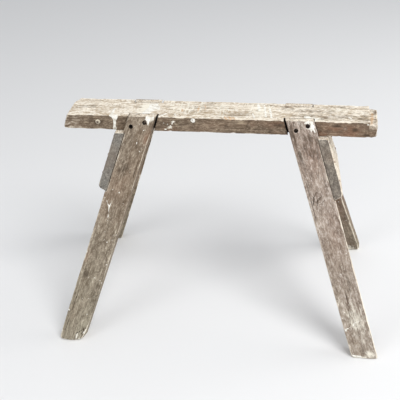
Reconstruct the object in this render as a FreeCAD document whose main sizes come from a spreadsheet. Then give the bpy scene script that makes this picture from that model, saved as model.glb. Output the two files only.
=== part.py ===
import FreeCAD, Part
import os
import re

import Sketcher

# A rigid carpenter's trestle (sawhorse). Millimetres, +Z up, +X along the beam.
# The origin is on the floor, under the middle of the trestle.
# Front is -Y, rear is +Y, left is -X and right is +X.
# A "drop" is a height measured downwards from the top of the trestle.

DIMENSIONS = {
    "trestle_height": 730,
    # top beam, lying flat; its left end is sawn aslant, its right end is askew in plan, with the rear
    # corner further out, and has lost a chip of its top
    "beam_length": 948,
    "beam_width": 121,
    "beam_depth": 50,
    "left_end_slant": 19,
    "right_end_skew": 12,
    "break_length": 28,
    "break_drop_front": 19,
    "break_drop_rear": 10,
    # legs: rake (to the front or rear) and splay (to the left or right) are travel per unit of drop,
    # and reach is from the middle of the trestle to the leg's centre line at the top
    "leg_width": 82,
    "leg_thick": 46,
    "leg_proud": 2.5,
    "rake": 0.3415,
    "splay_left": 0.351,
    "splay_right": 0.345,
    "reach_left": 237,
    "reach_right": 241.3,
    # housings in the sides of the beam, which hold the tops of the legs
    "housing_deep": 20,
    "housing_clear": 0.3,
    "housing_gap": 5.5,
    # gusset boards nailed across each pair of legs
    "gusset_thick": 30,
    "gusset_drop": 179,
    # leg screws: sink is the wide hole that the head lies in
    "sink_diameter": 13,
    "sink_floor": 60,
    "screw_head_diameter": 11,
    "screw_head_high": 3.5,
    "screw_diameter": 6,
    "screw_length": 50,
    "screw_tip": 8,
    "slot_wide": 1.4,
    "slot_deep": 1.6,
    "high_drop_left": 18.5,
    "high_shift_left": 13.5,
    "low_drop_left": 31,
    "low_shift_left": 24.5,
    "high_drop_right": 14,
    "high_shift_right": 19,
    "low_drop_right": 28,
    "low_shift_right": 20,
    # gusset nails
    "nail_head_diameter": 8,
    "nail_head_high": 1.2,
    "nail_diameter": 3.6,
    "nail_length": 65,
    "nail_tip": 6,
    "nail_first_drop": 78,
    "nail_pitch": 55,
    # two domed studs and a clout nail in the front of the beam
    "stud_across": 377,
    "stud_drop": 22,
    "stud_head_diameter": 15,
    "stud_head_high": 4,
    "stud_diameter": 8,
    "stud_length": 60,
    "stud_tip": 6,
    "clout_across": 81,
    "clout_drop": 9,
    "clout_head_diameter": 14,
    "clout_head_high": 2,
    "clout_diameter": 3,
    "clout_length": 30,
    "clout_tip": 5,
    # room round every shank and sunk head
    "fit": 0.1,
}

NAILS_PER_LEG = 3
FREE = 40  # how far a cutting outline runs past the wood

doc = FreeCAD.newDocument("trestle")
sheet = doc.addObject("Spreadsheet::Sheet", "sizes")
for row, (alias, value) in enumerate(DIMENSIONS.items(), start=1):
    sheet.set(f"A{row}", alias)
    sheet.set(f"B{row}", str(value))
    sheet.setAlias(f"B{row}", alias)
doc.recompute()

ALIAS = re.compile(r"\b(" + "|".join(DIMENSIONS) + r")\b")


def measure(text):
    """The value of an expression in the sheet's names."""
    value = sheet.evalExpression(str(text))
    return getattr(value, "Value", value)


def bind(target, path, text):
    """Tie a property to an expression in the sheet's names."""
    target.setExpression(path, ALIAS.sub(r"sizes.\1", str(text)))


# ---------------------------------------------------------------- sketches and features


def new_body(name):
    body = doc.addObject("PartDesign::Body", name)
    body.Label = name
    return body


def new_sketch(body, name, role, offset=(0, 0, 0), tilt=0):
    """A sketch on one of the body's origin planes, moved by offset and tilted about its own X axis."""
    plane = next(item for item in body.Origin.OriginFeatures if item.Role == role)
    sketch = body.newObject("Sketcher::SketchObject", f"{body.Name}_{name}")
    sketch.AttachmentSupport = [(plane, "")]
    sketch.MapMode = "FlatFace"
    sketch.AttachmentOffset = FreeCAD.Placement(
        FreeCAD.Vector(*[measure(part) for part in offset]),
        FreeCAD.Rotation(FreeCAD.Vector(1, 0, 0), measure(tilt)))
    for axis, part in zip("xyz", offset):
        bind(sketch, f"AttachmentOffset.Base.{axis}", part)
    if tilt:
        bind(sketch, "AttachmentOffset.Rotation.Angle", tilt)
    doc.recompute()
    return sketch


def hold_point(sketch, geometry, position, spot, tag):
    """Dimension one point of a sketch from the sketch's origin."""
    for axis, kind, text in zip("xy", ("DistanceX", "DistanceY"), spot):
        index = sketch.addConstraint(
            Sketcher.Constraint(kind, -1, 1, geometry, position, measure(text)))
        sketch.renameConstraint(index, f"{tag}_{axis}")
        bind(sketch, f"Constraints.{tag}_{axis}", text)


def draw_polygon(sketch, corners, tag="corner"):
    spots = [FreeCAD.Vector(measure(across), measure(along), 0) for across, along in corners]
    lines = [
        sketch.addGeometry(Part.LineSegment(start, end), False)
        for start, end in zip(spots, spots[1:] + spots[:1])
    ]
    for line, following in zip(lines, lines[1:] + lines[:1]):
        sketch.addConstraint(Sketcher.Constraint("Coincident", line, 2, following, 1))
    for number, (line, corner) in enumerate(zip(lines, corners)):
        hold_point(sketch, line, 1, corner, f"{tag}{number}")


def draw_circle(sketch, centre, diameter, tag):
    spot = FreeCAD.Vector(measure(centre[0]), measure(centre[1]), 0)
    circle = Part.Circle(spot, FreeCAD.Vector(0, 0, 1), measure(diameter) / 2)
    ring = sketch.addGeometry(circle, False)
    hold_point(sketch, ring, 3, centre, tag)
    index = sketch.addConstraint(Sketcher.Constraint("Diameter", ring, measure(diameter)))
    sketch.renameConstraint(index, f"{tag}_size")
    bind(sketch, f"Constraints.{tag}_size", diameter)


def settle(body, feature):
    """Make a finished feature the tip of its body."""
    doc.recompute()
    body.Tip = feature
    doc.recompute()


def pad(body, sketch, length):
    """Grow the sketch equally to both sides of its plane."""
    feature = body.newObject("PartDesign::Pad", f"{sketch.Name}_pad")
    feature.Profile = sketch
    feature.SideType = "Symmetric"
    bind(feature, "Length", length)
    settle(body, feature)


def pocket(body, sketch, along_normal=False, length=None, both_ways=False):
    """Cut the sketch out of the body, to a length or right through."""
    before = body.Shape.Volume
    feature = body.newObject("PartDesign::Pocket", f"{sketch.Name}_cut")
    feature.Profile = sketch
    feature.Reversed = along_normal
    if both_ways:
        feature.SideType = "Symmetric"
    if length is None:
        feature.Type = "ThroughAll"
    else:
        bind(feature, "Length", length)
    settle(body, feature)
    if body.Shape.Volume > before - 1:
        raise RuntimeError(f"{sketch.Name} cuts nothing")


def revolve(body, sketch):
    feature = body.newObject("PartDesign::Revolution", f"{sketch.Name}_turn")
    feature.Profile = sketch
    feature.ReferenceAxis = (sketch, ["V_Axis"])
    feature.Angle = 360
    settle(body, feature)
    return feature


# ---------------------------------------------------------------- where the legs are


class Leg:
    """The sizes of one leg as expressions. Its body's own X starts at the leg's centre line at the top.

    side is -1 for left and +1 for right; face is -1 for front and +1 for rear.
    """

    def __init__(self, side, face):
        self.side = side
        self.face = face
        self.hand = "left" if side < 0 else "right"
        self.corner = f"{'front' if face < 0 else 'rear'}_{self.hand}"
        self.splay = f"splay_{self.hand}"
        self.reach = f"reach_{self.hand}"
        # half of the leg's width, measured level along the beam
        self.half = f"(leg_width / 2 * sqrt(1 + {self.splay} ^ 2 / (1 + rake ^ 2)))"
        # a square leg's sides turn away from straight across the beam by this slope
        self.turn = f"({self.splay} * rake / (1 + rake ^ 2))"
        # the rear right leg fills its housing; beside the others the housing is cut too wide
        self.gap = "housing_clear" if (side, face) == (1, 1) else "housing_gap"
        # how much of the leg's outer arris is planed away where the gusset lies on it
        self.planed = f"({self.turn} * {LEG_DEEP})"

    def centre(self, drop):
        """X of the centre line of the outer wide face."""
        return f"{self.side} * {self.splay} * ({drop})"

    def seat(self, drop):
        """X of the plane that the gusset lies on."""
        return f"{self.side} * ({self.splay} * ({drop}) + {self.half} - {self.planed})"

    def side_in_beam(self, drop, shift):
        """X of a leg's side where it enters the side of the beam, moved outwards by shift."""
        return (f"{self.side} * ({self.reach} + {self.splay} * ({drop}) + {shift}"
                f" - {self.turn} * (leg_proud + rake * ({drop})))")

    def screws(self):
        """Names and places (X, Z) of the two screws, in the leg's own frame."""
        places = {}
        for level, inward in (("high", 1), ("low", -1)):
            drop = f"{level}_drop_{self.hand}"
            places[level] = (
                f"{self.centre(drop)} + {inward} * {level}_shift_{self.hand}",
                f"trestle_height - {drop}",
            )
        return places


def face_out(drop):
    """Distance of the legs' outer wide faces from the middle of the trestle, front to rear."""
    return f"(beam_width / 2 + leg_proud + rake * ({drop}))"


LEG_DEEP = "(leg_thick * sqrt(1 + rake ^ 2))"  # a leg's thickness, measured level across the beam
CHEEK = "(beam_width / 2 - housing_deep)"  # floor of a housing, from the middle of the beam
GUSSET_FOOT = "(beam_depth + gusset_drop)"  # drop of the gusset's lower edge
LEGS = [Leg(side, face) for side in (-1, 1) for face in (-1, 1)]
BLIND_REACH = f"({CHEEK} - sink_floor + screw_length + fit)"


def nail_spots(leg):
    """Places of a leg's nails on the gusset's seat: across the trestle, and along the slope from the top."""
    spots = []
    for number in range(NAILS_PER_LEG):
        drop = f"(nail_first_drop + nail_pitch * {number})"
        spots.append((
            f"{leg.face} * ({face_out(drop)} - {LEG_DEEP} / 2)",
            f"-{drop} * sqrt(1 + {leg.splay} ^ 2)",
        ))
    return spots


def seat_sketch(body, name, leg):
    """A sketch lying on the plane between a leg and its gusset, with its origin at the top's level."""
    return new_sketch(body, name, "YZ_Plane", (0, "trestle_height", leg.seat("0")),
                      f"{-leg.side} * atan({leg.splay})")


# ---------------------------------------------------------------- timber


def make_beam():
    body = new_body("top_beam")
    underside = "trestle_height - beam_depth"
    elevation = new_sketch(body, "elevation", "XZ_Plane")
    draw_polygon(elevation, [
        ("-beam_length / 2", "trestle_height"),
        ("-beam_length / 2 - left_end_slant", underside),
        ("beam_length / 2 + right_end_skew", underside),
        ("beam_length / 2 + right_end_skew", "trestle_height"),
    ])
    pad(body, elevation, "beam_width")

    skewed_end = new_sketch(body, "skewed_end", "XY_Plane", (0, 0, f"trestle_height + {FREE}"))
    beyond = f"(beam_width / 2 + {FREE})"
    draw_polygon(skewed_end, [
        (f"beam_length / 2 + right_end_skew * (0.5 - {beyond} / beam_width)", f"-{beyond}"),
        (f"beam_length / 2 + right_end_skew * (0.5 + {beyond} / beam_width)", beyond),
        (f"beam_length / 2 + right_end_skew * (0.5 + {beyond} / beam_width) + {FREE}", f"-{beyond}"),
    ])
    pocket(body, skewed_end)

    broken_end = new_sketch(body, "broken_end", "YZ_Plane", (0, 0, "beam_length / 2 - break_length"))
    draw_polygon(broken_end, [
        ("-beam_width / 2", f"trestle_height + {FREE}"),
        ("-beam_width / 2", "trestle_height - break_drop_front"),
        ("beam_width / 2", "trestle_height - break_drop_rear"),
        ("beam_width / 2", f"trestle_height + {FREE}"),
    ])
    pocket(body, broken_end, along_normal=True)

    for leg in LEGS:
        floor = (0, 0, f"{-leg.face} * {CHEEK}")
        housing = new_sketch(body, f"housing_{leg.corner}", "XZ_Plane", floor)
        outer = f"{leg.half} + housing_clear"
        inner = f"(-{leg.half} - {leg.gap})"
        above = f"-{FREE}"
        below = f"beam_depth + {FREE}"
        draw_polygon(housing, [
            (leg.side_in_beam(above, inner), f"trestle_height + {FREE}"),
            (leg.side_in_beam(below, inner), f"{underside} - {FREE}"),
            (leg.side_in_beam(below, outer), f"{underside} - {FREE}"),
            (leg.side_in_beam(above, outer), f"trestle_height + {FREE}"),
        ])
        pocket(body, housing, along_normal=leg.face < 0)

        pilots = new_sketch(body, f"pilots_{leg.corner}", "XZ_Plane", floor)
        for level, (across, height) in leg.screws().items():
            draw_circle(pilots, (f"{leg.side} * {leg.reach} + {across}", height),
                        "screw_diameter + 2 * fit", level)
        pocket(body, pilots, along_normal=leg.face > 0, length=BLIND_REACH)

    front = (0, 0, "beam_width / 2")
    studs = new_sketch(body, "stud_holes", "XZ_Plane", front)
    for side, tag in ((-1, "left"), (1, "right")):
        draw_circle(studs, (f"{side} * stud_across", "trestle_height - stud_drop"),
                    "stud_diameter + 2 * fit", tag)
    pocket(body, studs, length="stud_length + stud_head_high + fit")

    stud_sink = new_sketch(body, "stud_sink", "XZ_Plane", front)
    draw_circle(stud_sink, ("stud_across", "trestle_height - stud_drop"),
                "stud_head_diameter + 2 * fit", "right")
    pocket(body, stud_sink, length="stud_head_high")

    clout = new_sketch(body, "clout_hole", "XZ_Plane", front)
    draw_circle(clout, ("-clout_across", "trestle_height - clout_drop"),
                "clout_diameter + 2 * fit", "clout")
    pocket(body, clout, length="clout_length + fit")
    return body


def make_leg(leg):
    """A square leg raked and splayed, notched at the top so that it hooks under the beam."""
    body = new_body(f"leg_{leg.corner}")
    bind(body, "Placement.Base.x", f"{leg.side} * {leg.reach}")

    side_view = new_sketch(body, "side_view", "YZ_Plane")
    draw_polygon(side_view, [
        (f"{leg.face} * {face_out('0')}", "trestle_height"),
        (f"{leg.face} * {CHEEK}", "trestle_height"),
        (f"{leg.face} * {CHEEK}", "trestle_height - beam_depth"),
        (f"{leg.face} * ({face_out('beam_depth')} - {LEG_DEEP})", "trestle_height - beam_depth"),
        (f"{leg.face} * ({face_out('trestle_height')} - {LEG_DEEP})", "0"),
        (f"{leg.face} * {face_out('trestle_height')}", "0"),
    ])
    pad(body, side_view, f"2 * ({leg.splay} * trestle_height + leg_width)")

    # everything outside the leg's outline is cut away, square to its outer wide face
    face_view = new_sketch(body, "face_view", "XY_Plane",
                           (0, f"{leg.face} * {face_out('0')}", "trestle_height"),
                           f"90 deg + {leg.face} * atan(rake)")
    slope = "sqrt(1 + rake ^ 2)"
    above = f"(-{FREE})"
    below = f"(trestle_height + {FREE})"
    draw_polygon(face_view, [
        (f"{leg.centre(above)} - {leg.half}", f"-{above} * {slope}"),
        (f"{leg.centre(below)} - {leg.half}", f"-{below} * {slope}"),
        (f"{leg.centre(below)} + {leg.half}", f"-{below} * {slope}"),
        (f"{leg.centre(above)} + {leg.half}", f"-{above} * {slope}"),
    ], "leg")
    far = f"({leg.splay} * trestle_height + 2 * leg_width)"
    draw_polygon(face_view, [
        (f"-{far}", f"-2 * {above} * {slope}"),
        (f"-{far}", f"-({below} + {FREE}) * {slope}"),
        (far, f"-({below} + {FREE}) * {slope}"),
        (far, f"-2 * {above} * {slope}"),
    ], "waste")
    pocket(body, face_view, both_ways=True)

    seat = new_sketch(body, "gusset_seat", "XZ_Plane")
    draw_polygon(seat, [
        (leg.seat("beam_depth"), "trestle_height - beam_depth"),
        (leg.seat(GUSSET_FOOT), f"trestle_height - {GUSSET_FOOT}"),
        (f"{leg.seat(GUSSET_FOOT)} + {leg.side} * {FREE}",
         f"trestle_height - {GUSSET_FOOT} + {leg.splay} * {FREE}"),
        (f"{leg.seat('beam_depth')} + {leg.side} * {FREE}", "trestle_height - beam_depth"),
    ])
    pocket(body, seat, both_ways=True)

    screw_seat = (0, 0, f"{-leg.face} * sink_floor")
    sinks = new_sketch(body, "sinks", "XZ_Plane", screw_seat)
    shanks = new_sketch(body, "shanks", "XZ_Plane", screw_seat)
    for level, place in leg.screws().items():
        draw_circle(sinks, place, "sink_diameter", level)
        draw_circle(shanks, place, "screw_diameter + 2 * fit", level)
    pocket(body, sinks, along_normal=leg.face < 0)
    pocket(body, shanks, along_normal=leg.face > 0)

    nails = seat_sketch(body, "nail_holes", leg)
    for number, spot in enumerate(nail_spots(leg)):
        draw_circle(nails, spot, "nail_diameter + 2 * fit", f"nail{number}")
    pocket(body, nails, along_normal=leg.side < 0, length="nail_length - gusset_thick + fit")
    return body


def make_gusset(front_leg, rear_leg):
    """A board across a pair of legs, with its ends cut flush with the legs' outer faces."""
    leg = front_leg
    body = new_body(f"gusset_{leg.hand}")
    bind(body, "Placement.Base.x", f"{leg.side} * {leg.reach}")

    slope = f"sqrt(1 + {leg.splay} ^ 2)"
    section = new_sketch(body, "section", "XZ_Plane")
    draw_polygon(section, [
        (leg.seat("beam_depth"), "trestle_height - beam_depth"),
        (leg.seat(GUSSET_FOOT), f"trestle_height - {GUSSET_FOOT}"),
        (f"{leg.seat(GUSSET_FOOT)} + {leg.side} * gusset_thick / {slope}",
         f"trestle_height - {GUSSET_FOOT} + {leg.splay} * gusset_thick / {slope}"),
        (f"{leg.seat('beam_depth')} + {leg.side} * gusset_thick * {slope}",
         "trestle_height - beam_depth"),
    ])
    pad(body, section, f"2 * {face_out(GUSSET_FOOT)} + {FREE}")

    ends = new_sketch(body, "ends", "YZ_Plane")
    above = f"(beam_depth - {FREE})"
    below = f"({GUSSET_FOOT} + {FREE})"
    for face, tag in ((-1, "front"), (1, "rear")):
        draw_polygon(ends, [
            (f"{face} * {face_out(above)}", f"trestle_height - {above}"),
            (f"{face} * {face_out(below)}", f"trestle_height - {below}"),
            (f"{face} * ({face_out(below)} + {FREE})", f"trestle_height - {below}"),
            (f"{face} * ({face_out(below)} + {FREE})", f"trestle_height - {above}"),
        ], tag)
    pocket(body, ends, both_ways=True)

    nails = seat_sketch(body, "nail_holes", leg)
    for owner in (front_leg, rear_leg):
        for number, spot in enumerate(nail_spots(owner)):
            draw_circle(nails, spot, "nail_diameter + 2 * fit", f"{owner.corner}{number}")
    pocket(body, nails, along_normal=leg.side > 0)
    return body


# ---------------------------------------------------------------- fixings


def turned_fixing(name, kind):
    """A headed shank turned about the body's Z axis, with the head's underside at Z = 0."""
    body = new_body(name)
    profile = new_sketch(body, "profile", "XZ_Plane")
    head = f"({kind}_head_diameter / 2)"
    draw_polygon(profile, [
        ("0", f"-{kind}_length"),
        (f"{kind}_diameter / 2", f"{kind}_tip - {kind}_length"),
        (f"{kind}_diameter / 2", "0"),
        (head, "0"),
        (head, f"{kind}_head_high / 2"),
        (f"0.6 * {head}", f"{kind}_head_high"),
        ("0", f"{kind}_head_high"),
    ])
    return body, profile, revolve(body, profile)


def face_level_axis(body, face):
    """Turn a fixing so that its head looks straight out of the front (-1) or the rear (+1)."""
    body.Placement.Rotation = FreeCAD.Rotation(FreeCAD.Vector(1, 0, 0), -90 * face)


def make_leg_screw(leg, level, place):
    body, _, _ = turned_fixing(f"leg_screw_{leg.corner}_{level}", "screw")
    slot = new_sketch(body, "slot", "XY_Plane", (0, 0, "screw_head_high"))
    draw_polygon(slot, [
        (f"{across} * screw_head_diameter", f"{along} * slot_wide / 2")
        for across, along in ((-1, -1), (1, -1), (1, 1), (-1, 1))
    ])
    pocket(body, slot, length="slot_deep")
    face_level_axis(body, leg.face)
    bind(body, "Placement.Base.x", f"{leg.side} * {leg.reach} + {place[0]}")
    bind(body, "Placement.Base.y", f"{leg.face} * sink_floor")
    bind(body, "Placement.Base.z", place[1])
    return body


def make_gusset_nails(leg):
    """The nails through one end of a gusset into one leg, in a row down the leg."""
    body, profile, nail = turned_fixing(f"gusset_nails_{leg.corner}", "nail")
    body.AllowCompound = True
    pattern = body.newObject("PartDesign::LinearPattern", f"{body.Name}_row")
    pattern.Originals = [nail]
    pattern.Direction = (profile, ["H_Axis"])
    bind(pattern, "Length",
         f"{NAILS_PER_LEG - 1} * nail_pitch * sqrt(1 + {leg.splay} ^ 2 + rake ^ 2)")
    pattern.Occurrences = NAILS_PER_LEG
    settle(body, pattern)

    splay = measure(leg.splay)
    down_leg = FreeCAD.Vector(leg.side * splay, leg.face * measure("rake"), -1)
    outward = FreeCAD.Vector(leg.side, 0, splay)
    body.Placement.Rotation = FreeCAD.Rotation(down_leg, FreeCAD.Vector(), outward, "ZXY")
    slope = f"sqrt(1 + {leg.splay} ^ 2)"
    first = "nail_first_drop"
    bind(body, "Placement.Base.x",
         f"{leg.side} * {leg.reach} + {leg.seat(first)} + {leg.side} * gusset_thick / {slope}")
    bind(body, "Placement.Base.y", f"{leg.face} * ({face_out(first)} - {LEG_DEEP} / 2)")
    bind(body, "Placement.Base.z",
         f"trestle_height - {first} + {leg.splay} * gusset_thick / {slope}")
    return body


def make_front_fixing(name, kind, across, drop, sunk="0"):
    """A stud or nail driven level into the front of the beam."""
    body, _, _ = turned_fixing(name, kind)
    face_level_axis(body, -1)
    bind(body, "Placement.Base.x", across)
    bind(body, "Placement.Base.y", f"-(beam_width / 2) + {sunk}")
    bind(body, "Placement.Base.z", f"trestle_height - {drop}")
    return body


nodes = [make_beam()]
nodes += [make_leg(leg) for leg in LEGS]
nodes += [make_gusset(front, rear) for front, rear in (LEGS[:2], LEGS[2:])]
for leg in LEGS:
    nodes += [make_leg_screw(leg, level, place) for level, place in leg.screws().items()]
    nodes.append(make_gusset_nails(leg))
nodes.append(make_front_fixing("beam_stud_left", "stud", "-stud_across", "stud_drop"))
nodes.append(make_front_fixing("beam_stud_right", "stud", "stud_across", "stud_drop", "stud_head_high"))
nodes.append(make_front_fixing("clout_nail", "clout", "-clout_across", "clout_drop"))
doc.recompute()

for item in doc.Objects:
    if "Invalid" in item.State or "Error" in item.State:
        raise RuntimeError(f"{item.Label}: {item.State}")
for node in nodes:
    if node.Shape.isNull() or not node.Shape.isValid():
        raise RuntimeError(f"{node.Label} has a bad shape")

os.makedirs("parts", exist_ok=True)
for node in nodes:
    node.Shape.exportStep(f"parts/{node.Label}.step")
    box = node.Shape.BoundBox
    print(f"{node.Label}: {len(node.Shape.Solids)} solid(s), {node.Shape.Volume / 1000:.1f} cm3,"
          f" X {box.XMin:.1f} to {box.XMax:.1f}, Y {box.YMin:.1f} to {box.YMax:.1f},"
          f" Z {box.ZMin:.1f} to {box.ZMax:.1f}")
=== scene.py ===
import itertools
import math

import bpy
import numpy as np
from mathutils import Matrix, Vector
from mathutils.kdtree import KDTree


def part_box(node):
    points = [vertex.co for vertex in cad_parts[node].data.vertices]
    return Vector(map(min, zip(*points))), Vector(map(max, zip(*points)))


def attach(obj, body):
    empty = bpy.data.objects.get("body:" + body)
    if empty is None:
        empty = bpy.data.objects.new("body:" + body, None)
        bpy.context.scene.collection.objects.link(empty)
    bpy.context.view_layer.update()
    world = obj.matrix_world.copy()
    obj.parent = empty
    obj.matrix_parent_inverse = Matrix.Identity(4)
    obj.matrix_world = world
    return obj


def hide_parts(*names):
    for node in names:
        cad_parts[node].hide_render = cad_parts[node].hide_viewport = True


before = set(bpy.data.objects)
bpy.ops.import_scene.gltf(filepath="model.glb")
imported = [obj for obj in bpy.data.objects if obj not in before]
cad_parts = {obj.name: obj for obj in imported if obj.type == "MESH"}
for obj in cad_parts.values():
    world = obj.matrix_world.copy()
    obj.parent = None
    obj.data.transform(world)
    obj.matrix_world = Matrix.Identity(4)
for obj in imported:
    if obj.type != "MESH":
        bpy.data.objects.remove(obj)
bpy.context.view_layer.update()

# A rigid trestle of old, weathered timber. Sizes are in millimetres until a mesh is made.
MM = 0.001
BEAM_LOW, BEAM_HIGH = (np.array(corner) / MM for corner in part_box("top_beam"))
HEIGHT = BEAM_HIGH[2]  # the beam's top lies level, flush with the tops of the legs
BEAM_DEPTH = BEAM_HIGH[2] - BEAM_LOW[2]
BEAM_BASE = HEIGHT - BEAM_DEPTH
BEAM_HALF = BEAM_HIGH[1]
LEFT_SLANT = 19.0  # how far the left end leans out, going down
RIGHT_SKEW = 12.0  # how much further out the right end is at the rear
BREAK_LENGTH = 28.0  # the broken ledge at the right end
BREAK_DROP_FRONT = 19.0
BREAK_DROP_REAR = 10.0
LEG_WIDTH = 82.0
LEG_THICK = 46.0
LEG_PROUD = 2.5
LEG_STRETCH = 1.06  # a leg leans, so its grain is drawn this much longer than its drop
RAKE = 0.3415  # how far a leg leans out across the beam, for each millimetre down
SPLAY = {-1: 0.351, 1: 0.345}  # and along the beam, on its left side and its right
REACH = {-1: 237.0, 1: 241.3}  # the middle of a leg's top, from the beam's middle
HOUSING_DEEP = 20.0
HOUSING_CLEAR = 0.3
HOUSING_GAP = 5.5
GUSSET_THICK = 30.0
GUSSET_DROP = 179.0
SINK_DIAMETER = 13.0  # the sunk holes over the screws
SINK_FLOOR = 60.0
SINK_SIDES = 36
# where the screws are on a leg's outer face: down and across outwards
SCREWS = {-1: ((18.5, -13.5), (31.0, 24.5)), 1: ((14.0, 19.0), (28.0, -20.0))}

BEAM_LEFT = BEAM_LOW[0] + LEFT_SLANT
BEAM_RIGHT = BEAM_HIGH[0] - RIGHT_SKEW
BREAK_AT = BEAM_RIGHT - BREAK_LENGTH
CHEEK = BEAM_HALF - HOUSING_DEEP
LEG_DEEP = LEG_THICK * math.hypot(1, RAKE)
LEG_HALF = LEG_WIDTH / 2
GUSSET_FOOT = BEAM_DEPTH + GUSSET_DROP
TURN = {side: splay * RAKE / (1 + RAKE ** 2) for side, splay in SPLAY.items()}
HAND = {-1: "left", 1: "right"}
FACE = {-1: "front", 1: "rear"}
FRONT_LEFT, FRONT_RIGHT, REAR_LEFT, REAR_RIGHT = (-1, -1), (1, -1), (-1, 1), (1, 1)

ENDLESS = 1e6  # a wavelength so long that a noise stays the same along that axis
PAINT_REACH = 12.0  # how far from its edge a patch of paint is still measured


# ---- noise and distances


def scatter_number(cells, seed):
    """A steady random number from 0 to 1 for every whole-number cell."""
    cells = cells.astype(np.int64).astype(np.uint64)
    mixed = (cells[..., 0] * np.uint64(73856093)) ^ (cells[..., 1] * np.uint64(19349663))
    mixed = mixed ^ (cells[..., 2] * np.uint64(83492791)) ^ np.uint64(seed * 2654435761 % 2**32)
    mixed = mixed & np.uint64(0xFFFFFFFF)
    mixed = ((mixed ^ (mixed >> np.uint64(15))) * np.uint64(2246822519)) & np.uint64(0xFFFFFFFF)
    mixed = ((mixed ^ (mixed >> np.uint64(13))) * np.uint64(3266489917)) & np.uint64(0xFFFFFFFF)
    return (mixed ^ (mixed >> np.uint64(16))).astype(float) / 2**32


def noise(points, wave, seed, octaves=1):
    """Smooth noise from -1 to 1, with its wavelength along each axis."""
    total, weight, reach = np.zeros(len(points)), 1.0, 0.0
    place = points / np.asarray(wave, float)
    for octave in range(octaves):
        base = np.floor(place)
        part = place - base
        part = part * part * (3 - 2 * part)
        level = np.zeros(len(points))
        for corner in itertools.product((0, 1), repeat=3):
            share = np.prod(np.where(corner, part, 1 - part), axis=1)
            level += share * scatter_number(base + corner, seed + 101 * octave)
        total += weight * (2 * level - 1)
        reach += weight
        weight *= 0.55
        place = place * 2.03 + 17.3
    return total / reach


def smooth(values, low, high):
    """From 0 below low to 1 above high, with soft ends."""
    share = np.clip((values - low) / (high - low), 0, 1)
    return share * share * (3 - 2 * share)


def stroke(points, path):
    """Distance from each point to the skin of a stroke through (point, radius) pairs, negative inside."""
    best = np.full(len(points), 1e9)
    path = [(np.array(place, float), radius) for place, radius in path]
    for (start, r0), (end, r1) in zip(path, path[1:] or path):
        run = end - start
        share = np.clip(((points - start) @ run) / max(run @ run, 1e-9), 0, 1)
        gap = np.linalg.norm(points - start - share[:, None] * run, axis=1)
        best = np.minimum(best, gap - (r0 + (r1 - r0) * share))
    return best


def nearest_stroke(points, paths):
    """Distance to the nearest of several strokes."""
    best = np.full(len(points), 50.0)
    for path in paths:
        best = np.minimum(best, stroke(points, path))
    return best


# ---- blocks of timber


ARRIS_ROWS = (0, 0.5, 1.1, 1.8, 2.7, 3.8)  # rows of points next to an arris, which is rounded
ARRIS_DONE = 5.2


def spaced(length, step):
    """Positions from 0 to length: close together at both ends and step apart in between."""
    count = max(2, round((length - 2 * ARRIS_DONE) / step) + 1)
    inner = np.linspace(ARRIS_DONE, length - ARRIS_DONE, count)
    return np.concatenate([ARRIS_ROWS, inner, length - np.array(ARRIS_ROWS[::-1])])


def block(us, vs, ws):
    """The skin of a block cut up by three rows of positions: its points' rows and places, and its quads."""
    shape = (len(us), len(vs), len(ws))
    cell = np.indices(shape)
    skin = np.zeros(shape, bool)
    for axis, count in enumerate(shape):
        skin |= (cell[axis] == 0) | (cell[axis] == count - 1)
    number = np.full(shape, -1)
    number[skin] = np.arange(skin.sum())
    quads = []
    for axis in range(3):
        for end in (0, -1):
            sheet = np.take(number, end, axis=axis)
            quad = np.stack([sheet[:-1, :-1], sheet[1:, :-1], sheet[1:, 1:], sheet[:-1, 1:]], -1)
            quad = quad.reshape(-1, 4)
            outward = (end == -1) != (axis == 1)
            quads.append(quad if outward else quad[:, ::-1])
    row, across, down = cell[:, skin]
    return row, np.stack([us[row], vs[across], ws[down]], 1), np.concatenate(quads)


def worn_arrises(points, low, high, radius):
    """Round the arrises of a block by a radius that varies. Returns points and outward directions."""
    radius = np.minimum(radius[:, None], (high - low) * 0.45)
    core = np.clip(points, low + radius, high - radius)
    out = points - core
    length = np.linalg.norm(out / radius, axis=1)[:, None]
    outward = out / radius / length
    return core + outward * radius, outward


def random_chips(draw, span, count, lengths, depths):
    """Chips along the arrises: place along, side across, side in depth, length and depth of each."""
    return [(draw.uniform(*span), draw.choice((-1, 1)), draw.choice((-1, 1)), draw.uniform(*lengths),
             draw.uniform(*depths)) for _ in range(count)]


def chipped(points, middle, chips):
    """Extra arris radius at each point, from chips and hollows along the four long arrises."""
    extra = np.zeros(len(points))
    v_side = np.sign(points[:, 1] - middle[1])
    w_side = np.sign(points[:, 2] - middle[2])
    for along, v_hand, w_hand, length, depth in chips:
        share = np.clip(1 - ((points[:, 0] - along) / length) ** 2, 0, 1)
        extra = np.maximum(extra, share * depth * (v_side == v_hand) * (w_side == w_hand))
    return extra


def put(name, data):
    """An object in the scene for a mesh, a lamp or a camera."""
    made = bpy.data.objects.new(name, data)
    bpy.context.scene.collection.objects.link(made)
    return made


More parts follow.
